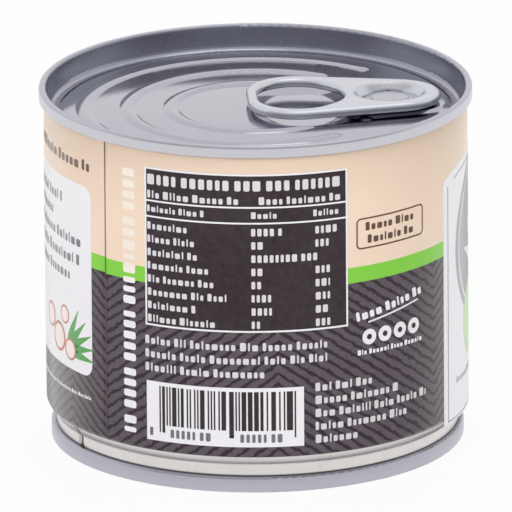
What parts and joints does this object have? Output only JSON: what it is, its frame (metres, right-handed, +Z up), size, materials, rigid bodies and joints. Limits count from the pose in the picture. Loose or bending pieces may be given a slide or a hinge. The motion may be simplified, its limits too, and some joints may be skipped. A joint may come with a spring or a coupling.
{
  "type": "ring-pull food can",
  "caption": "Small round food can with a ring-pull lid, a stepped-in foot and a wrap-round paper label, shut and full.",
  "frame": {"origin": "centre of the foot, on the plane the can stands on", "axes": "+Z up along the can's axis; +X towards the nose of the ring pull; -Y towards the side of the label that carries the facts panel"},
  "size_m": [0.0754, 0.0754, 0.0631],
  "materials": {
    "body_steel": "bright tinplate, satin, with a welded side seam",
    "lid_steel": "lacquered tinplate, glossy on the panel and satin on the seam",
    "end_steel": "satin tinplate",
    "tab_metal": "bright satin metal with rolled edges",
    "label_paper": "semi-gloss coated paper, cream above and dark herringbone below a green stripe"
  },
  "bodies": {
    "root": {"can_body": "body_steel", "top_end": "lid_steel", "bottom_end": "end_steel", "pull_tab": "tab_metal", "label": "label_paper"}
  },
  "joints": []
}
